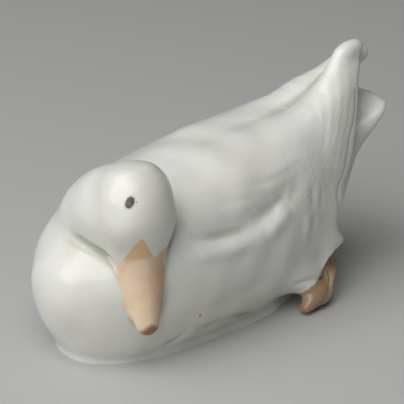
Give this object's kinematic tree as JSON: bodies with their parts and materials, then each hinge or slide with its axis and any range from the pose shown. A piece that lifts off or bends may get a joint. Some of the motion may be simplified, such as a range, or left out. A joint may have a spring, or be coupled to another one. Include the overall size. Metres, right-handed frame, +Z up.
{
  "type": "duck figurine",
  "caption": "White glazed porcelain duck resting on its belly, wings folded, head turned to its left with the bill down on the breast.",
  "frame": {"origin": "middle of the figurine's box, on the plane it stands on", "axes": "+Z up; the breast faces -Y and the tail +Y; +X is the duck's left, the side its head is turned to"},
  "size_m": [0.0836, 0.1826, 0.104],
  "materials": {
    "porcelain": "gloss"
  },
  "bodies": {
    "root": {"duck": "porcelain"}
  },
  "joints": []
}
